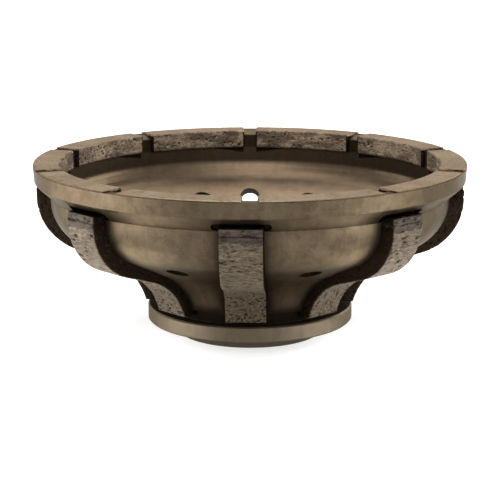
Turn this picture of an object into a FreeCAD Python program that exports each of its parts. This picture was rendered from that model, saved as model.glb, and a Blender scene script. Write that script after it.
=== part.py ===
import FreeCAD, Part
import math
import os
from FreeCAD import Vector

# Stone profiling wheel, standing on its small end with the open cup up.
# One turned steel body carries ten sintered segments round its rim and eight
# sintered strips down its outside, which follow an ogee from rim to neck.
# Millimetres, +Z up along the axis, origin at the centre of the bottom face.
# Sections are drawn in the XZ plane, with X as the radius.

# Rim
rim_radius = 62.5
band_height = 5.2
band_taper = 0.3
band_edge_break = 0.4
underside_height = 3.8
lip_drop = 0.5
lip_width = 3.1
lip_inner_fall = 1.1

# Rim segments, each an L in section: a leg in a rebate and a thin lap over the lip
segment_count = 10
segment_gap = 4.0
segment_height = 5.7
segment_width = 7.6
segment_edge_break = 0.25

# Cup inside
rim_width = 6.6
cup_wall_height = 12.2
cup_turn_radius = 3.0
cup_slope_width = 28.9
cup_slope_deg = 27.8

# The ogee that the strips grind: a bulge, a straight slope and a hollow neck
bulge_inset = 0.8
bulge_radius = 16.5
bulge_depth = 10.4
slope_length = 9.2
slope_deg = 18.0
neck_radius = 17.0
neck_end_rise = 4.2

# Profile strips
strip_count = 8
strip_turn_deg = -2.2
strip_width = 11.7
strip_bulge_proud = 4.0
strip_neck_proud = 2.5
strip_seat_depth = 1.5
strip_top_depth = 7.5
strip_edge_break = 0.3
relief_overhang = 2.05
relief_height = 2.2
relief_rise = 1.0
relief_depth = 0.9

# Foot: flange, spigot and the groove between flange and neck
flange_proud = 0.2
flange_height = 4.6
spigot_step = 5.6
spigot_height = 3.9
spigot_taper = 3.4
groove_height = 3.2
groove_depth = 3.3
strip_foot_gap = 1.3
foot_edge_break = 0.4

# Arbor hole, tapping size for an M14 thread, with a recess in the hub floor
arbor_radius = 6.0
arbor_chamfer = 1.0
hub_recess_width = 5.0
hub_recess_depth = 4.0

# Water holes through the cup's slope, one midway between each two strips, and one across the back strip
water_hole_radius = 2.95
water_hole_inset = 13.6
water_hole_slope_deg = 45.0
sight_hole_slope_deg = 18.0
hole_overrun = 5.0

# Brazing gap between a sintered piece and its seat
braze_gap = 0.05

front_deg = -90.0
axis_line = Vector(0, 0, 1)
centre = Vector(0, 0, 0)

# Heights, from the foot up
flange_top = spigot_height + flange_height
groove_top = flange_top + groove_height
strip_bottom = flange_top + strip_foot_gap
slope = math.radians(slope_deg)
reach = bulge_radius + neck_radius
neck_centre_height = strip_bottom - neck_end_rise
bulge_centre_height = neck_centre_height + reach * math.cos(slope) + slope_length * math.sin(slope)
wheel_height = bulge_centre_height + bulge_depth
lip_top = wheel_height - lip_drop
band_bottom = wheel_height - band_height
bulge_top = band_bottom - underside_height
segment_base = wheel_height - segment_height
strip_top = wheel_height - strip_top_depth

# Radii, from the rim in
rebate_radius = rim_radius - lip_width
cup_wall_radius = rim_radius - rim_width
segment_inner_radius = rim_radius - segment_width
bulge_centre_radius = rim_radius - bulge_inset - bulge_radius
neck_centre_radius = bulge_centre_radius + reach * math.sin(slope) - slope_length * math.cos(slope)
relief_floor_radius = rim_radius - bulge_inset - strip_bulge_proud - relief_depth
flange_radius = neck_centre_radius - neck_radius + flange_proud
spigot_radius = flange_radius - spigot_step
groove_floor_radius = neck_centre_radius - neck_radius - groove_depth
hub_floor_radius = cup_wall_radius - cup_slope_width
hub_recess_radius = arbor_radius + hub_recess_width
water_hole_circle = cup_wall_radius - water_hole_inset

bulge_centre = (bulge_centre_radius, bulge_centre_height)
neck_centre = (neck_centre_radius, neck_centre_height)


def at(radius, height):
    return Vector(radius, 0, height)


def lines(*points):
    return [Part.LineSegment(at(*a), at(*b)).toShape() for a, b in zip(points, points[1:])]


def arc(middle, radius, start_deg, end_deg):
    """Arc about a point of the section, from one angle to another."""
    def spot(angle):
        return at(middle[0] + radius * math.cos(math.radians(angle)),
                  middle[1] + radius * math.sin(math.radians(angle)))
    return Part.Arc(spot(start_deg), spot((start_deg + end_deg) / 2), spot(end_deg)).toShape()


def ogee(bulge_inward, neck_inward, top, bottom):
    """Edges of the ogee from top to bottom, moved inward, with its two ends as (radius, height)."""
    bulge = bulge_radius - bulge_inward
    neck = neck_radius + neck_inward
    across = (neck_centre[0] - bulge_centre[0], neck_centre[1] - bulge_centre[1])
    lean = math.degrees(math.acos((bulge + neck) / math.hypot(*across)))
    normal_deg = math.degrees(math.atan2(across[1], across[0])) + lean
    normal = (math.cos(math.radians(normal_deg)), math.sin(math.radians(normal_deg)))
    bulge_end = (bulge_centre[0] + bulge * normal[0], bulge_centre[1] + bulge * normal[1])
    neck_start = (neck_centre[0] - neck * normal[0], neck_centre[1] - neck * normal[1])
    neck_end_deg = 180 - math.degrees(math.asin((bottom - neck_centre[1]) / neck))
    widest = bulge_centre[0] + bulge
    narrowest = neck_centre[0] + neck * math.cos(math.radians(neck_end_deg))
    edges = lines((widest, top), (widest, bulge_centre[1]))
    edges += [arc(bulge_centre, bulge, 0, normal_deg)]
    edges += lines(bulge_end, neck_start)
    edges += [arc(neck_centre, neck, normal_deg + 180, neck_end_deg)]
    return edges, (widest, top), (narrowest, bottom)


def turned(edges):
    """Solid of revolution of a closed section about the wheel's axis."""
    return Part.Face(Part.Wire(Part.__sortEdges__(edges))).revolve(centre, axis_line, 360)


def turned_to(shape, angle_deg):
    """Copy of a shape drawn at the +X side, turned about the axis to its place."""
    placed = shape.copy()
    placed.rotate(centre, axis_line, angle_deg)
    return placed


def blank():
    """Turned steel body before its pockets and holes."""
    outside, bulge_point, groove_point = ogee(strip_bulge_proud, strip_neck_proud, bulge_top, groove_top)
    steepness = math.tan(math.radians(cup_slope_deg))
    corner = (cup_wall_radius, wheel_height - cup_wall_height)
    tangent = cup_turn_radius * math.tan(math.radians(90 - cup_slope_deg) / 2)
    turn_middle = (cup_wall_radius - cup_turn_radius, corner[1] + tangent)
    turn_end_deg = cup_slope_deg - 90
    turn_end = (turn_middle[0] + cup_turn_radius * math.cos(math.radians(turn_end_deg)),
                turn_middle[1] + cup_turn_radius * math.sin(math.radians(turn_end_deg)))
    hub_floor = corner[1] - cup_slope_width * steepness
    recess_floor = hub_floor - hub_recess_depth
    foot = lines(
        (arbor_radius, recess_floor), (arbor_radius, arbor_chamfer), (arbor_radius + arbor_chamfer, 0),
        (spigot_radius - spigot_taper, 0), (spigot_radius, spigot_height),
        (flange_radius - foot_edge_break, spigot_height), (flange_radius, spigot_height + foot_edge_break),
        (flange_radius, flange_top - foot_edge_break), (flange_radius - foot_edge_break, flange_top),
        (groove_floor_radius, flange_top), (groove_floor_radius, groove_top), groove_point)
    rim = lines(
        bulge_point, (rim_radius - band_taper - band_edge_break, band_bottom),
        (rim_radius - band_taper, band_bottom + band_edge_break), (rim_radius, lip_top),
        (rebate_radius, lip_top), (cup_wall_radius, lip_top - lip_inner_fall), (cup_wall_radius, turn_middle[1]))
    turn = [arc(turn_middle, cup_turn_radius, 0, turn_end_deg)]
    floor = lines(
        turn_end, (hub_floor_radius, hub_floor), (hub_recess_radius, hub_floor),
        (hub_recess_radius, recess_floor), (arbor_radius, recess_floor))
    return turned(foot + outside + rim + turn + floor)


def segment(gap, inner_radius, overlap):
    """Rim segment, or the pocket for it when gap is below zero; overlap runs past the top."""
    span_deg = 360 / segment_count - math.degrees((segment_gap + 2 * gap) / rebate_radius)
    leg_radius = rebate_radius - gap
    top = wheel_height + overlap
    edge = segment_edge_break
    section = lines(
        (inner_radius, segment_base + gap), (leg_radius, segment_base + gap), (leg_radius, lip_top),
        (rim_radius, lip_top), (rim_radius, top - edge), (rim_radius - edge, top),
        (inner_radius + edge, top), (inner_radius, top - edge), (inner_radius, segment_base + gap))
    arc_piece = Part.Face(Part.Wire(section)).revolve(centre, axis_line, span_deg)
    middle_deg = 180 / segment_count - span_deg / 2
    return turned_to(arc_piece, middle_deg)


def strip(gap):
    """Bar that follows the ogee, or the seat for it when gap is below zero."""
    bottom = strip_bottom + gap
    top = strip_top - gap
    face, face_top, face_end = ogee(0, 0, top, bottom)
    back, back_top, back_end = ogee(
        strip_bulge_proud + strip_seat_depth - gap, strip_neck_proud + strip_seat_depth - gap, top, bottom)
    section = face + lines(face_end, back_end) + back + lines(back_top, face_top)
    half = strip_width / 2 - gap
    outline = Part.Wire(Part.__sortEdges__(section))
    outline.translate(Vector(0, -half, 0))
    bar = Part.Face(outline).extrude(Vector(0, 2 * half, 0))
    if gap < 0:
        return bar
    return bar.makeChamfer(strip_edge_break, face_rims(bar, face, half))


def face_rims(bar, face, half):
    """The bar's edges along both sides of its face: those whose middle lies over the face's line."""
    middles = [e.valueAt((e.FirstParameter + e.LastParameter) / 2) for e in face]
    found = []
    for edge in bar.Edges:
        spot = edge.valueAt((edge.FirstParameter + edge.LastParameter) / 2)
        if any(math.hypot(spot.x - m.x, spot.z - m.z) < 1e-4 for m in middles):
            if abs(abs(spot.y) - half) < 1e-4:
                found.append(edge)
    return found


def relief():
    """Round-ended slot milled across the head of each strip."""
    end_radius = relief_height / 2
    middle_height = strip_top + relief_rise - end_radius
    half = strip_width / 2 + relief_overhang - end_radius
    depth = rim_radius - relief_floor_radius + hole_overrun
    block = Part.makeBox(depth, 2 * half, relief_height,
                         Vector(relief_floor_radius, -half, middle_height - end_radius))
    ends = [Part.makeCylinder(end_radius, depth, Vector(relief_floor_radius, side * half, middle_height),
                              Vector(1, 0, 0)) for side in (-1, 1)]
    return block.fuse(ends).removeSplitter()


def drill(slope_deg, length):
    """Round drill through the cup's slope, falling by slope_deg as it leaves."""
    height = wheel_height - cup_wall_height - water_hole_inset * math.tan(math.radians(cup_slope_deg))
    fall = math.radians(slope_deg)
    along = Vector(math.cos(fall), 0, -math.sin(fall))
    start = at(water_hole_circle, height) - along * hole_overrun
    return Part.makeCylinder(water_hole_radius, length + hole_overrun, start, along)


def build():
    strip_pitch_deg = 360 / strip_count
    strip_angles = [front_deg + strip_turn_deg + k * strip_pitch_deg for k in range(strip_count)]
    bay_angles = [angle + strip_pitch_deg / 2 for angle in strip_angles]
    segment_angles = [front_deg + k * 360 / segment_count for k in range(segment_count)]
    sight_length = rim_radius - water_hole_circle + hole_overrun
    sight_drill = turned_to(drill(sight_hole_slope_deg, sight_length), front_deg + 180)
    seat = strip(-braze_gap)
    pocket = segment(-braze_gap, cup_wall_radius - hole_overrun, hole_overrun)
    cutters = [turned_to(seat, angle) for angle in strip_angles]
    cutters += [turned_to(relief(), angle) for angle in strip_angles]
    cutters += [turned_to(pocket, angle) for angle in segment_angles]
    cutters += [turned_to(drill(water_hole_slope_deg, water_hole_inset), angle) for angle in bay_angles]
    cutters += [sight_drill]

    pieces = {"wheel_body": blank().cut(cutters)}
    bar = strip(0)
    for number, angle in enumerate(strip_angles, 1):
        placed = turned_to(bar, angle)
        if number == strip_count // 2 + 1:
            placed = placed.cut(sight_drill)
        pieces["profile_strip_%d" % number] = placed
    block = segment(0, segment_inner_radius, 0)
    for number, angle in enumerate(segment_angles, 1):
        pieces["rim_segment_%02d" % number] = turned_to(block, angle)
    return pieces


pieces = build()
os.makedirs("parts", exist_ok=True)
for name, shape in pieces.items():
    shape.exportStep("parts/%s.step" % name)
    print(name, "solids", len(shape.Solids), "valid", shape.isValid(), "volume %.1f" % shape.Volume)
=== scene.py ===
import math

import bpy
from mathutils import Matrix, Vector, noise


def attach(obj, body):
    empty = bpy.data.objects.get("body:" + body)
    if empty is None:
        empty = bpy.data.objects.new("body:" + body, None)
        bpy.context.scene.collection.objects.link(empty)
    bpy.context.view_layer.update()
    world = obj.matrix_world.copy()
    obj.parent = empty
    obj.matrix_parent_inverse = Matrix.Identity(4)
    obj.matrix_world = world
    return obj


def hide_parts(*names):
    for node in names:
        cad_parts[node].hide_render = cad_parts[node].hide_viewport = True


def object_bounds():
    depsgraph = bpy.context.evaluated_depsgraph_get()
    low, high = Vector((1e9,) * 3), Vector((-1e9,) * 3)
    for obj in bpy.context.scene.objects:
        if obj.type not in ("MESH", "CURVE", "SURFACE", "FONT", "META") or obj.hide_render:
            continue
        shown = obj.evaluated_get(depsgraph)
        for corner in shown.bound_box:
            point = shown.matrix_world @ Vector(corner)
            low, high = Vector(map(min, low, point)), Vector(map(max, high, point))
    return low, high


# A stone profiling wheel stands on its small end, with its cup up. The steel body keeps its own
# solid. Each rim segment and profile strip is shown by a finer mesh of its solid, worn at the
# edges and pitted. Metres in the scene, millimetres inside the materials and the wear.

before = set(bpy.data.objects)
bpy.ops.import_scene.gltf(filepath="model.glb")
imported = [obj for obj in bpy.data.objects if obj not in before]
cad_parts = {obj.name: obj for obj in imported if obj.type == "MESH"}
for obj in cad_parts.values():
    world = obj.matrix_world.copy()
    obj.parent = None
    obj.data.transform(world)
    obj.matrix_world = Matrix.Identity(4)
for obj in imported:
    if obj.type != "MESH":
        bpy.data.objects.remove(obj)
cad_low, cad_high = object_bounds()

MM = 0.001

# The body's own measures
RIM_RADIUS = 62.5
TOP = cad_high[2] / MM
LIP_TOP = TOP - 0.5
BAND_BOTTOM = TOP - 5.2
BULGE_TOP = TOP - 9.0
BULGE_RADIUS = 57.7
UNDERSIDE_SPREAD = 4.1 / 3.8
FLANGE_TOP = 8.5
CUP_WALL = 55.9
CUP_CORNER = TOP - 12.2
CUP_STEEPNESS = 0.527
CUP_TURN = 3.0

# Water holes: one between each two strips, and one flatter hole at the back
HOLE_RADIUS = 2.95
HOLE_FROM_WALL = 13.6
HOLE_CIRCLE = CUP_WALL - HOLE_FROM_WALL
HOLE_HEIGHT = CUP_CORNER - HOLE_FROM_WALL * CUP_STEEPNESS
HOLE_SLOPE_DEG = 45
SIGHT_SLOPE_DEG = 18
SIGHT_TURN = math.pi / 2

# Strips and segments
STRIP_COUNT = 8
STRIP_TURN = math.radians(-92.2)
STRIP_HALF = 5.85
STRIP_TOP = TOP - 7.5
SLOT_BOTTOM = STRIP_TOP - 1.2
SLOT_TOP = STRIP_TOP + 1.0
CRACK_LINE = STRIP_TOP - 2.1
SEAM_LINE = STRIP_TOP - 3.9
SEGMENT_COUNT = 10
SEGMENT_TURN = math.radians(-90)
SEGMENT_BASE = TOP - 5.7
SEGMENT_INSIDE = 54.9

# Heights between which a mark sets in, from where it is absent to where it is full
LOWER_BULGE = (33.0, 24.0)
WAIST = (30.5, 26.5)
NECK_GROOVE = (15.0, 11.5)
BULGE = (25.0, 31.0)
STRIP_FOOT = (30.0, 16.0)
SPECKLED = (29.0, 25.0)
ROUND_PITS = (28.0, 22.0)
ROUND_WEAR = (28.0, 18.0)
CLOSE_WEAR = (27.0, 22.0)

# Wear
STRIP_CELL = 0.4
SEGMENT_CELL = 0.28
PIT_DEPTH = 0.3
LEAST_WEAR = 0.01
RAGGED_WEAR = 0.1
WORN_CONE_TURN = 11.0
WORN_WALL_TURN = 4.5
STEEL_RELIEF = 0.03
STRIP_RELIEF = 0.14
SEGMENT_RELIEF = 0.1

# Colours, in linear light
STEEL = (0.063, 0.048, 0.031)
STEEL_PALE = (0.140, 0.110, 0.070)
STEEL_RED = (0.077, 0.050, 0.034)
STEEL_OLIVE = (0.057, 0.048, 0.028)
STEEL_DARK = (0.040, 0.029, 0.018)
STEEL_STAIN = (0.042, 0.028, 0.018)
FLANGE_RUBBED = (0.125, 0.108, 0.082)
CUP_BROWN = (0.085, 0.058, 0.039)
# Drip stains, and painted shade at the waist
DRIP_AND_SHADE_BROWN = (0.033, 0.020, 0.0125)
SCORCH = (0.024, 0.016, 0.010)
GAP_SCORCH = (0.028, 0.020, 0.013)
# Near black: soot, seams and cracks, and painted shade in the holes, slots, beside the strips and under and
# between the segments
SOOT_AND_SHADE = (0.010, 0.0075, 0.005)
EDGE_TINT = (0.56, 0.55, 0.53)
MATRIX_EDGE_TINT = (0.42, 0.37, 0.31)
MATRIX_DARK = (0.05, 0.037, 0.026)
GRIT = (0.42, 0.37, 0.31)
STRIP_MATRIX = (0.112, 0.088, 0.061)
HEAD_DARK = (0.022, 0.017, 0.014)
HEAD_PALE = (0.046, 0.038, 0.032)
SPECK = (0.020, 0.012, 0.008)
FOOT_SHADE = (0.72, 0.68, 0.64)
# Near black: painted shade on the strips' side faces, top and sight hole
STRIP_SHADE = (0.012, 0.008, 0.005)
RIM_MATRIX = (0.250, 0.190, 0.134)
RUBBED_PATCH = (0.37, 0.28, 0.195)
GROUND_TOP = (0.108, 0.083, 0.058)
STAINED_TOP = (0.070, 0.050, 0.034)
SEGMENT_STAIN = (0.05, 0.035, 0.025)
FLOOR_GREY = (0.5, 0.5, 0.5)
LAMP_TINT = (1.0, 0.985, 0.96)


class Signal:
    """A number in a material. Python's operators on it add Math nodes."""

    def __init__(self, tree, socket):
        self.tree = tree
        self.socket = socket

    def math(self, operation, *others):
        return self.tree.add("ShaderNodeMath", {"operation": operation}, *(self, *others))

    def __add__(self, other):
        return self.math("ADD", other)

    def __sub__(self, other):
        return self.math("SUBTRACT", other)

    def __rsub__(self, other):
        return self.tree.add("ShaderNodeMath", {"operation": "SUBTRACT"}, other, self)

    def __mul__(self, other):
        return self.math("MULTIPLY", other)

    def __truediv__(self, other):
        return self.math("DIVIDE", other)

    def __pow__(self, other):
        return self.math("POWER", other)

    def __abs__(self):
        return self.math("ABSOLUTE")

    __radd__ = __add__
    __rmul__ = __mul__

    def rise(self, low, high):
        """0 below low and 1 above high, with a soft step between; low above high turns it round."""
        smooth = {"interpolation_type": "SMOOTHSTEP"}
        return self.tree.add("ShaderNodeMapRange", smooth, self, low, high, 0, 1)


class Tree:
    """A node tree that shader expressions are written into."""

    def __init__(self, tree):
        self.nodes = tree.nodes
        self.links = tree.links

    def add(self, kind, settings, *inputs, out=0, **named):
        """Adds a node, sets it up, joins or fills its sockets, and gives one of its outputs."""
        node = self.nodes.new(kind)
        for key, value in settings.items():
            setattr(node, key, value)
        open_sockets = [s for s in node.inputs if s.enabled]
        for socket, value in zip(open_sockets, inputs):
            self.feed(socket, value)
        for key, value in named.items():
            self.feed(node.inputs[key], value)
        outputs = [s for s in node.outputs if s.enabled]
        chosen = node.outputs[out] if isinstance(out, str) else outputs[out]
        return Signal(self, chosen)

    def feed(self, socket, value):
        if isinstance(value, Signal):
            self.links.new(value.socket, socket)
        elif isinstance(value, tuple) and len(value) == 3 and socket.type == "RGBA":
            socket.default_value = (*value, 1)
        else:
            socket.default_value = value

    def split(self, vector):
        node = self.nodes.new("ShaderNodeSeparateXYZ")
        self.links.new(vector.socket, node.inputs[0])
        return [Signal(self, s) for s in node.outputs]

    def join(self, x, y, z):
        return self.add("ShaderNodeCombineXYZ", {}, x, y, z)

    def shifted(self, vector, distance):
        """The same place in another part of a pattern."""
        return self.add("ShaderNodeVectorMath", {"operation": "ADD"}, vector, (distance, 0, 0), out="Vector")

    def mix(self, mask, first, second, blend="MIX"):
        """Colour that goes from first to second as mask goes from 0 to 1."""
        return self.add("ShaderNodeMix", {"data_type": "RGBA", "blend_type": blend}, mask, first, second)

    def noise(self, vector, scale, detail, roughness, distortion=0.0):
        return self.add("ShaderNodeTexNoise", {}, Vector=vector, Scale=scale, Detail=detail,
                        Roughness=roughness, Distortion=distortion, out="Fac")

    def cells(self, vector, scale):
        """Distance to the nearest of the scattered points that a cell pattern is made from."""
        return self.add("ShaderNodeTexVoronoi", {}, Vector=vector, Scale=scale, out="Distance")


class Material(Tree):
    """A material under construction, with the object's own coordinates in millimetres."""

    def __init__(self, name):
        self.material = bpy.data.materials.new(name)
        self.material.use_nodes = True
        super().__init__(self.material.node_tree)
        self.shader = self.nodes["Principled BSDF"]
        place = self.add("ShaderNodeTexCoord", {}, out="Object")
        scale = {"operation": "SCALE"}
        self.spot = self.add("ShaderNodeVectorMath", scale, place, Scale=1 / MM, out="Vector")
        self.x, self.y, self.z = self.split(self.spot)
        self.radius = (self.x * self.x + self.y * self.y) ** 0.5
        self.turn = self.y.math("ARCTAN2", self.x)

    def finish(self, color, roughness, height, depth, metallic=1.0, edge=EDGE_TINT):
        """Joins colour, roughness and a bump of a real depth in millimetres to the shader."""
        self.feed(self.shader.inputs["Base Color"], color)
        self.feed(self.shader.inputs["Roughness"], roughness)
        self.feed(self.shader.inputs["Metallic"], metallic)
        self.feed(self.shader.inputs["Specular Tint"], edge)
        bump = self.add("ShaderNodeBump", {}, Strength=1.0, Distance=depth * MM, Height=height)
        self.feed(self.shader.inputs["Normal"], bump)
        return self.material


def shaded(color, share):
    """A lighter or darker shade of a colour."""
    return tuple(share * c for c in color)


def from_nearest(m, count, first_turn):
    """Place in the plane of the nearest of a ring of like things: sideways, outward, and its number."""
    pitch = 2 * math.pi / count
    turned = m.turn - (first_turn - pitch / 2)
    lean = turned.math("FLOORED_MODULO", pitch) - pitch / 2
    return m.radius * lean.math("SINE"), m.radius * lean.math("COSINE"), (turned / pitch).math("FLOOR")


def bore(m, first_turn, count, slope_deg):
    """1 on the wall of a water hole that falls outward by slope_deg."""
    across, outward, _ = from_nearest(m, count, first_turn)
    fall = math.radians(slope_deg)
    off_axis = (outward - HOLE_CIRCLE) * math.sin(fall) + (m.z - HOLE_HEIGHT) * math.cos(fall)
    from_axis = (across * across + off_axis * off_axis) ** 0.5
    return from_axis.rise(HOLE_RADIUS + 0.25, HOLE_RADIUS + 0.05)


def stand_off(along, radius):
    """How far a hollow of this radius stands off a side of the cup's corner, at a distance along it."""
    half = (math.pi / 2 - math.atan(CUP_STEEPNESS)) / 2
    reach = radius * math.tan(half)
    middle = CUP_TURN * (math.tan(half) - math.sin(half))
    inset = (reach - along).math("MAXIMUM", 0.0)
    return math.sqrt(radius ** 2 - (reach - middle) ** 2) - (radius ** 2 - inset * inset) ** 0.5


def worn_turn(m, inside):
    """Depth of the wider hollow that stands in for the cup's turn, as it looks after some use."""
    lean = math.atan(CUP_STEEPNESS)
    down_cone = (CUP_WALL - m.radius) * math.cos(lean) + (CUP_CORNER - m.z) * math.sin(lean)
    up_wall = m.z - CUP_CORNER
    on_wall = up_wall.math("GREATER_THAN", down_cone)
    on_cone = 1.0 - on_wall
    worn = stand_off(down_cone, WORN_CONE_TURN) * on_cone + stand_off(up_wall, WORN_WALL_TURN) * on_wall
    return (worn - stand_off(down_cone.math("MAXIMUM", up_wall), CUP_TURN)) * inside


def turned_steel():
    """Bronze-brown satin steel: turning rings, heat tints, burnt flux beside the brazed pieces; painted
    shade beside the strips, in the slots and holes, under the segments and at the waist, and a painted
    highlight on the bulge.
    """
    m = Material("turned_steel")
    across, _, _ = from_nearest(m, STRIP_COUNT, STRIP_TURN)
    gap, _, _ = from_nearest(m, SEGMENT_COUNT, SEGMENT_TURN)
    cloud = m.noise(m.spot, 0.05, 3.0, 0.5)
    tint = m.noise(m.shifted(m.spot, 40.0), 0.085, 3.0, 0.5)
    blotch = m.noise(m.shifted(m.spot, 90.0), 0.22, 5.0, 0.65)
    patina = m.noise(m.shifted(m.spot, 140.0), 0.15, 6.0, 0.7, 0.6)
    mottle = m.noise(m.spot, 0.3, 5.0, 0.62)
    grain = m.noise(m.spot, 3.0, 3.0, 0.6)
    rings = m.noise(m.join(m.radius, m.z, m.turn * 0.35), 5.5, 3.0, 0.65)
    scuffs = m.noise(m.join(m.turn * 60.0, m.z * 0.12, m.radius * 0.12), 0.55, 3.0, 0.6)
    drips = m.noise(m.join(m.turn * 30.0, m.z * 0.12, 0.0), 0.6, 4.0, 0.6)
    ragged = (mottle - 0.5) * 4.0

    cone = CUP_CORNER - (CUP_WALL - m.radius) * CUP_STEEPNESS
    inside = (m.z - cone + 1.5).rise(0.0, 0.6) * m.radius.rise(CUP_WALL + 0.35, CUP_WALL + 0.15)
    outside = 1.0 - inside
    below_band = m.z.rise(BAND_BOTTOM + 0.3, BAND_BOTTOM - 0.3)
    above_flange = m.z.rise(FLANGE_TOP - 0.1, FLANGE_TOP + 0.2)
    ogee_zone = outside * below_band * above_flange
    low = m.z.rise(*LOWER_BULGE)
    waist = (m.z + ragged * 0.5).rise(*WAIST) * ogee_zone
    bulge = m.z.rise(*BULGE) * ogee_zone
    underside = (m.z + ragged * 0.12).rise(BULGE_TOP - 0.1, BULGE_TOP + 0.5) * ogee_zone
    foot = outside * m.z.rise(FLANGE_TOP + 0.3, FLANGE_TOP - 0.3)

    # Painted shadow beside each strip where it stands out of the body, mixed with burnt flux, stronger lower
    # down
    beside = (abs(across) + ragged * 0.5).rise(STRIP_HALF + 2.4, STRIP_HALF + 0.2)
    scorch = (abs(across) + ragged * 1.2).rise(STRIP_HALF + 6.5, STRIP_HALF + 0.5) * ogee_zone
    groove = (m.z + ragged * 0.3).rise(*NECK_GROOVE)
    # Painted shade inside the slot that each strip's head sits in, under the band
    underside_radius = BULGE_RADIUS + (m.z - BULGE_TOP).math("MAXIMUM", 0.0) * UNDERSIDE_SPREAD
    slot = (underside_radius - m.radius).rise(0.1, 0.5)
    slot = slot * m.z.rise(SLOT_BOTTOM - 0.2, SLOT_BOTTOM) * m.z.rise(SLOT_TOP + 0.2, SLOT_TOP)
    # Painted shadow and flux beside the strips, the neck groove's dark patina, and painted shade in the
    # slots
    flux_and_shade = (beside * (0.55 + low * 0.4)).math("MAXIMUM", groove)
    flux_and_shade = flux_and_shade.math("MAXIMUM", slot) * ogee_zone

    gap_scorch = abs(gap).rise(2.6, 2.2) * m.z.rise(SEGMENT_BASE - 0.2, SEGMENT_BASE + 0.6)
    gap_scorch = gap_scorch * m.radius.rise(RIM_RADIUS - 0.2, RIM_RADIUS - 0.5)
    # Painted shadow under the segments' overhang: a crescent that thickens toward the gap, on the end of
    # each segment nearer x = 0
    under_segment = inside * abs(gap).rise(1.9, 2.2)
    thickness = (abs(gap) - 2.0) * -0.15 + 1.7 + ragged * 0.08
    crescent_shadow = (m.z - SEGMENT_BASE + thickness).rise(0.0, 0.3) * (gap * m.x).rise(1.0, -1.0)
    crescent_shadow = crescent_shadow * under_segment
    # Painted shade in a band on the wall just under each segment
    under_segment_shade = under_segment * m.z.rise(SEGMENT_BASE - 0.9, SEGMENT_BASE + 0.1)
    # Painted shade on the walls of the water holes and the sight hole
    holes = bore(m, STRIP_TURN + math.pi / STRIP_COUNT, STRIP_COUNT, HOLE_SLOPE_DEG)
    holes = holes.math("MAXIMUM", bore(m, SIGHT_TURN, 1, SIGHT_SLOPE_DEG))
    # Burnt flux together with the painted shadows and shade above
    soot_and_shade = flux_and_shade.math("MAXIMUM", crescent_shadow).math("MAXIMUM", holes)

    color = m.mix(cloud.rise(0.36, 0.66), shaded(STEEL, 0.9), shaded(STEEL, 1.3))
    color = m.mix(tint.rise(0.42, 0.62) * 0.45, color, STEEL_RED)
    color = m.mix(blotch.rise(0.52, 0.66) * 0.5, color, STEEL_OLIVE)
    stained = ogee_zone * 0.6 + 0.4
    color = m.mix(patina.rise(0.47, 0.62) * stained * 0.65, color, STEEL_STAIN)
    color = m.mix(patina.rise(0.47, 0.36) * stained * 0.3, color, STEEL_PALE)
    color = m.mix(mottle.rise(0.45, 0.66) * 0.6, color, STEEL_DARK)
    color = m.mix(grain.rise(0.35, 0.75) * 0.25, color, STEEL_PALE)
    color = m.mix((rings - 0.5) * 0.35 + scuffs.rise(0.4, 0.75) * 0.16, color, STEEL_PALE)
    # Painted highlight: the bulge's upper part and the band's underside made lighter
    color = m.mix(bulge * 0.1 + underside * 0.1, color, STEEL_PALE)
    color = m.mix(foot * 0.35, color, FLANGE_RUBBED)
    color = m.mix(inside * 0.4, color, CUP_BROWN)
    # The waist darker: drip stains, and painted shade where the body turns down
    color = m.mix(waist * (drips.rise(0.3, 0.7) * 0.4 + 0.45), color, DRIP_AND_SHADE_BROWN)
    color = m.mix(scorch * (0.45 + low * 0.3), color, SCORCH)
    # Painted shade under the segments
    color = m.mix(under_segment_shade * 0.4, color, STEEL_DARK)
    color = m.mix(gap_scorch * 0.8, color, GAP_SCORCH)
    # Near black: burnt flux, and painted shade beside the strips, in the slots and holes, and under the
    # segments
    color = m.mix(soot_and_shade * 0.95, color, SOOT_AND_SHADE)
    rough = 0.30 + cloud * 0.08 + mottle * 0.12 + soot_and_shade * 0.25 + waist * 0.1 + foot * 0.12
    height = rings * 0.5 + grain * 0.3 + mottle * 0.35 + worn_turn(m, inside) / STEEL_RELIEF
    return m.finish(color, rough, height, STEEL_RELIEF)


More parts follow.
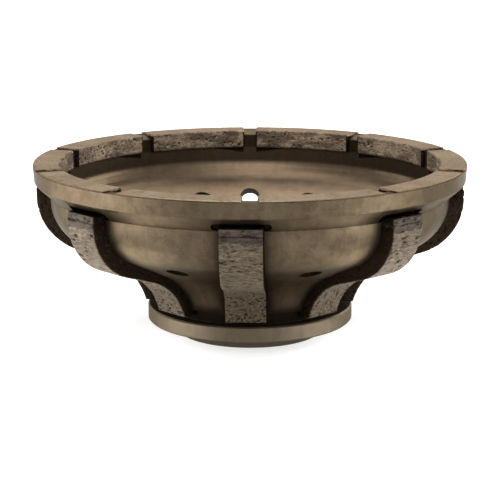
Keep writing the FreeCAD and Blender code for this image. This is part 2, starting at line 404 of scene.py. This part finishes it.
def sintered(name, light, stretch, low_stretch):
    """Grey-brown diamond matrix: granular, with dark pits drawn out along the cut."""
    m = Material(name)
    m.across, outward, m.number = from_nearest(m, STRIP_COUNT, STRIP_TURN)
    squeeze = m.z.rise(*ROUND_PITS) * (low_stretch - stretch) + stretch
    along = m.join(m.across * squeeze, outward + m.number * 50.0, m.z)
    cloud = m.noise(m.spot, 0.12, 3.0, 0.5)
    m.blotch = m.noise(m.shifted(along, 30.0), 0.8, 4.0, 0.65)
    speckle = m.noise(m.shifted(along, 60.0), 1.7, 3.0, 0.6)
    grain = m.noise(along, 2.2, 4.0, 0.7)
    grit = m.cells(m.spot, 2.4)
    dashes = m.noise(along, 1.25, 3.0, 0.55, 0.4).rise(0.57, 0.66)
    pits = m.cells(along, 0.62).rise(0.24, 0.12) * m.noise(along, 0.4, 2.0, 0.5).rise(0.42, 0.56)
    pinholes = m.cells(along, 1.5).rise(0.17, 0.08) * m.noise(m.spot, 0.5, 2.0, 0.5).rise(0.45, 0.6)
    sunk = m.add("ShaderNodeAttribute", {"attribute_name": "pit"}, out="Fac").rise(0.15, 0.75)
    holes = pits.math("MAXIMUM", pinholes).math("MAXIMUM", dashes * 0.75).math("MAXIMUM", sunk)
    color = m.mix(cloud.rise(0.35, 0.7), light, shaded(light, 0.8))
    color = m.mix(m.blotch.rise(0.35, 0.62), shaded(light, 0.7), color)
    color = m.mix(speckle.rise(0.5, 0.36) * 0.75, color, shaded(MATRIX_DARK, 0.9))
    color = m.mix(speckle.rise(0.52, 0.68) * 0.8, color, shaded(light, 1.7))
    color = m.mix(grain.rise(0.45, 0.72), color, shaded(light, 1.4))
    color = m.mix(grain.rise(0.48, 0.25) * 0.6, color, MATRIX_DARK)
    color = m.mix(grit.rise(0.16, 0.05) * 0.3, color, GRIT)
    m.color = m.mix(holes * 0.85, color, shaded(MATRIX_DARK, 0.35))
    m.relief = grain * 0.7 + grit * 0.25 - holes * 1.8
    m.rough = 0.5 + grain * 0.15 + holes * 0.2
    return m


def strip_matrix():
    """The strips' matrix: a dark cracked head, a browner pitted foot, and painted shade on the side faces,
    the top and the sight hole.
    """
    m = sintered("strip_matrix", STRIP_MATRIX, 0.35, 0.9)
    wobble = (m.noise(m.join(m.across * 0.5, m.number * 9.0, 0.0), 0.6, 3.0, 0.6) - 0.5) * 2.0
    head = (m.z + wobble * 0.5).rise(STRIP_TOP - 4.2, STRIP_TOP - 3.4)
    crack = abs(m.z + wobble * 0.6 - CRACK_LINE).rise(0.28, 0.1)
    crack = crack * m.noise(m.join(m.across, m.number * 5.0, 0.0), 0.25, 2.0, 0.5).rise(0.36, 0.46)
    seam = abs(m.z + wobble * 0.9 - SEAM_LINE).rise(0.3, 0.1) * m.blotch.rise(0.62, 0.4)
    close = m.join(m.across, m.z, m.number * 11.0)
    specks = m.cells(close, 0.8).rise(0.36, 0.22) * m.noise(close, 0.5, 2.0, 0.5).rise(0.36, 0.48)
    # Painted shade on the side faces, on the top inside the slot, and in the sight hole
    sides = abs(m.across + wobble * 0.12).rise(STRIP_HALF - 0.36, STRIP_HALF - 0.12)
    top = m.z.rise(STRIP_TOP - 0.25, STRIP_TOP - 0.05)
    soot_and_shade = sides.math("MAXIMUM", top).math("MAXIMUM", bore(m, SIGHT_TURN, 1, SIGHT_SLOPE_DEG))
    color = m.mix(head * 0.8, m.color, m.mix(m.blotch.rise(0.4, 0.6), HEAD_DARK, HEAD_PALE))
    color = m.mix(specks * (m.z.rise(*SPECKLED) * 0.5 + 0.2), color, SPECK)
    color = m.mix(seam * 0.8, color, SOOT_AND_SHADE)
    color = m.mix(m.z.rise(*STRIP_FOOT) * 0.9, color, FOOT_SHADE, "MULTIPLY")
    color = m.mix(crack * 0.92, color, SOOT_AND_SHADE)
    # Painted shade on the sides, top and sight hole
    color = m.mix(soot_and_shade * 0.96, color, STRIP_SHADE)
    metal = 0.4 + soot_and_shade * 0.6
    return m.finish(color, m.rough, m.relief - crack * 1.5, STRIP_RELIEF, metal, MATRIX_EDGE_TINT)


def rim_matrix():
    """The segments' matrix: ground brown tops, stained inner faces, outsides turned with the steel, and
    painted shadow on the end faces.
    """
    m = sintered("rim_matrix", RIM_MATRIX, 0.5, 0.5)
    gap, _, _ = from_nearest(m, SEGMENT_COUNT, SEGMENT_TURN)
    top = m.z.rise(TOP - 0.3, TOP - 0.1)
    inside = m.radius.rise(SEGMENT_INSIDE + 0.3, SEGMENT_INSIDE + 0.1)
    outer = m.radius.rise(RIM_RADIUS - 0.35, RIM_RADIUS - 0.2)
    foot = m.z.rise(SEGMENT_BASE + 0.9, SEGMENT_BASE + 0.1)
    # Painted shadow on the segments' end faces in the gaps
    shaded_ends = abs(gap).rise(2.4, 2.15) * m.z.rise(LIP_TOP + 0.05, LIP_TOP - 0.2)
    stain = m.noise(m.join(m.turn * 40.0, m.z * 1.5, 0.0), 0.16, 4.0, 0.65).rise(0.42, 0.58)
    round_rim = m.join(m.turn * SEGMENT_INSIDE, m.z * 2.0, 0.0)
    pale = m.noise(m.shifted(round_rim, 70.0), 0.13, 3.0, 0.6).rise(0.48, 0.62)
    color = m.mix(inside * pale * 0.55, m.color, RUBBED_PATCH)
    color = m.mix(top * 0.85, color, m.mix(stain * 0.7, GROUND_TOP, STAINED_TOP))
    color = m.mix(outer, color, STEEL_PALE)
    color = m.mix(inside * stain * 0.7, color, SEGMENT_STAIN)
    color = m.mix(inside * foot * 0.75, color, SOOT_AND_SHADE)
    # Painted shadow on the end faces
    color = m.mix(shaded_ends * 0.95, color, SOOT_AND_SHADE)
    metal = shaded_ends.math("MAXIMUM", outer).math("MAXIMUM", top * 0.6) * 0.5 + 0.45
    relief = m.relief * (1.0 - top * 0.6)
    return m.finish(color, m.rough - outer * 0.15, relief, SEGMENT_RELIEF, metal, MATRIX_EDGE_TINT)


def step(low, high, value):
    """The plain-number twin of Signal.rise."""
    t = min(1.0, max(0.0, (value - low) / (high - low)))
    return t * t * (3.0 - 2.0 * t)


def strip_wear(across, outward, height, number):
    """How deep pits and the crack are, and how ragged a face is, at a place on a strip.

    Pits are drawn out along the cut above the waist, and are rounder and closer below it.
    """
    stretch = 0.45 + 0.4 * step(*ROUND_WEAR, height)
    spot = Vector((across * stretch, outward + number * 31.0, height))
    patch = noise.noise(spot * 0.33) + 0.3 * step(*CLOSE_WEAR, height)
    pit = step(0.34, 0.18, noise.voronoi(spot * 0.8)[0][0]) * step(-0.12, 0.08, patch)
    wave = 0.5 * noise.noise(Vector((across * 0.35, number * 7.0, 0.0)))
    stretches = noise.noise(Vector((across * 0.2, number * 5.0, 3.0)))
    crack = step(0.55, 0.1, abs(CRACK_LINE - height + wave)) * step(0.0, 0.15, stretches)
    return max(pit, crack), 1.0


def segment_wear(across, outward, height, number):
    """The same for a segment: its ground top and turned outside stay sound."""
    spot = Vector((across * 0.7, outward + number * 23.0, height))
    near_top = step(TOP - 0.6, TOP - 0.2, height)
    near_outside = step(RIM_RADIUS - 1.0, RIM_RADIUS - 0.5, math.hypot(across, outward))
    open_to_wear = 1.0 - max(near_top, near_outside)
    pit = step(0.32, 0.18, noise.voronoi(spot * 0.95)[0][0]) * step(-0.02, 0.15, noise.noise(spot * 0.3))
    return pit * open_to_wear, open_to_wear


def sintered_piece(name, finish, turn, number, wear, cell):
    """The node's solid in fine cells, with softened edges, and pits and cracks sunk into it."""
    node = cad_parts[name]
    piece = bpy.data.objects.new(name + "_sintered", node.data.copy())
    bpy.context.collection.objects.link(piece)
    cells = piece.modifiers.new("cells", "REMESH")
    cells.mode = "VOXEL"
    cells.voxel_size = cell * MM
    solid = piece.evaluated_get(bpy.context.evaluated_depsgraph_get())
    mesh = bpy.data.meshes.new_from_object(solid)
    piece.modifiers.clear()
    piece.data = mesh
    outward_way = Vector((math.cos(turn), math.sin(turn), 0.0))
    across_way = Vector((-math.sin(turn), math.cos(turn), 0.0))
    depths = mesh.attributes.new("pit", "FLOAT", "POINT")
    normals = [v.normal.copy() for v in mesh.vertices]
    for vertex, normal in zip(mesh.vertices, normals):
        spot = vertex.co / MM
        pit, rough = wear(spot.dot(across_way), spot.dot(outward_way), spot.z, number)
        ragged = 0.5 + 0.5 * noise.noise(spot * 0.7 + Vector((number * 17.0, 0, 0)))
        sunk = LEAST_WEAR + RAGGED_WEAR * ragged * rough + PIT_DEPTH * pit
        vertex.co -= normal * sunk * MM
        depths.data[vertex.index].value = pit
    mesh.shade_smooth()
    mesh.materials.clear()
    mesh.materials.append(finish)
    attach(piece, "root")
    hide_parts(name)


def dress():
    """Finishes the turned steel, and stands a worn piece in for each sintered one."""
    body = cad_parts["wheel_body"]
    body.data.materials.clear()
    body.data.materials.append(turned_steel())
    for face in body.data.polygons:
        face.material_index = 0
    grey = strip_matrix()
    for k in range(STRIP_COUNT):
        turn = STRIP_TURN + k * 2 * math.pi / STRIP_COUNT
        sintered_piece(f"profile_strip_{k + 1}", grey, turn, k, strip_wear, STRIP_CELL)
    brown = rim_matrix()
    for k in range(SEGMENT_COUNT):
        turn = SEGMENT_TURN + (k + 0.5) * 2 * math.pi / SEGMENT_COUNT
        sintered_piece(f"rim_segment_{k + 1:02d}", brown, turn, k, segment_wear, SEGMENT_CELL)


def seen_directly(tree):
    """1 for rays from a camera, a mirror or clear glass, and 0 for light that falls on a surface."""
    rays = tree.add("ShaderNodeLightPath", {}, out="Is Camera Ray")
    node = rays.socket.node
    glossy = Signal(tree, node.outputs["Is Glossy Ray"])
    through = Signal(tree, node.outputs["Is Transmission Ray"])
    return rays.math("MAXIMUM", glossy).math("MAXIMUM", through)


def studio():
    """Pale floor and an even world, which cameras and mirrors see as white."""
    bpy.ops.mesh.primitive_plane_add(size=12.0, location=(0, 0, -0.0002))
    floor = bpy.context.object
    floor.name = "floor"
    m = Material("pale_floor")
    m.feed(m.shader.inputs["Base Color"], FLOOR_GREY)
    m.feed(m.shader.inputs["Roughness"], 0.9)
    glow_near, glow_far = 0.64, 0.88
    glow = seen_directly(m) * (m.radius.rise(150.0, 1200.0) * (glow_far - glow_near) + glow_near)
    glow = m.add("ShaderNodeEmission", {}, Color=(1.0, 1.0, 1.0), Strength=glow, out="Emission")
    both = m.add("ShaderNodeAddShader", {}, Signal(m, m.shader.outputs["BSDF"]), glow)
    m.links.new(both.socket, m.nodes["Material Output"].inputs["Surface"])
    floor.data.materials.append(m.material)

    world = bpy.data.worlds.new("studio")
    bpy.context.scene.world = world
    world.use_nodes = True
    sky = Tree(world.node_tree)
    back = sky.nodes["Background"]
    back.inputs["Color"].default_value = (1, 1, 1, 1)
    sky.feed(back.inputs["Strength"], seen_directly(sky) * 0.7 + 0.3)


def softbox(name, place, aim, width, height, power):
    light = bpy.data.lights.new(name, "AREA")
    light.shape = "RECTANGLE"
    light.size = width
    light.size_y = height
    light.energy = power
    light.color = LAMP_TINT
    lamp = bpy.data.objects.new(name, light)
    lamp.location = place
    lamp.visible_camera = False
    lamp.rotation_euler = (Vector(aim) - Vector(place)).to_track_quat("-Z", "Y").to_euler()
    bpy.context.collection.objects.link(lamp)


def lamps():
    """Low boxes for the band, bulge and flange, rear ones for the rim, and high ones for the cup."""
    softbox("left_box", (-0.15, -0.055, 0.026), (0, -0.055, 0.026), 0.18, 0.046, 0.165)
    softbox("right_box", (0.15, -0.105, 0.026), (0, -0.075, 0.026), 0.12, 0.046, 0.095)
    softbox("floor_left_box", (-0.053, -0.034, 0.010), (-0.053, -0.034, 0), 0.036, 0.034, 0.044)
    softbox("floor_right_box", (0.053, -0.034, 0.010), (0.053, -0.034, 0), 0.036, 0.034, 0.042)
    softbox("right_rear_box", (0.33, 0.19, 0.14), (0, 0, 0.04), 0.24, 0.16, 1.35)
    softbox("left_rear_box", (-0.33, 0.19, 0.14), (0, 0, 0.04), 0.24, 0.16, 0.5)
    softbox("top_box", (-0.09, -0.06, 0.60), (0, 0, 0.03), 0.50, 0.40, 2.5)
    softbox("back_box", (0.0, 0.35, 0.505), (0, 0, 0.03), 0.50, 0.27, 4.1)
    softbox("front_box", (0.0, -0.42, 0.42), (0, 0, 0.03), 0.40, 0.25, 2.0)


def camera():
    """Looks down on the rim by ten degrees, from seven and a half rim radii away."""
    distance = 7.5 * RIM_RADIUS * MM
    rise = math.radians(9.75)
    aim_below_top = 27.0
    focus_px = 1615.0
    frame_px = 500
    sensor = 36.0
    lens = bpy.data.cameras.new("camera")
    lens.sensor_width = sensor
    lens.lens = focus_px * sensor / frame_px
    lens.clip_start = 0.01
    eye = bpy.data.objects.new("camera", lens)
    eye.location = (0, -distance * math.cos(rise), TOP * MM + distance * math.sin(rise))
    aim = Vector((0, 0, (TOP - aim_below_top) * MM))
    eye.rotation_euler = (aim - eye.location).to_track_quat("-Z", "Y").to_euler()
    bpy.context.collection.objects.link(eye)
    bpy.context.scene.camera = eye


dress()
studio()
lamps()
camera()
bpy.context.scene.view_settings.view_transform = "Standard"
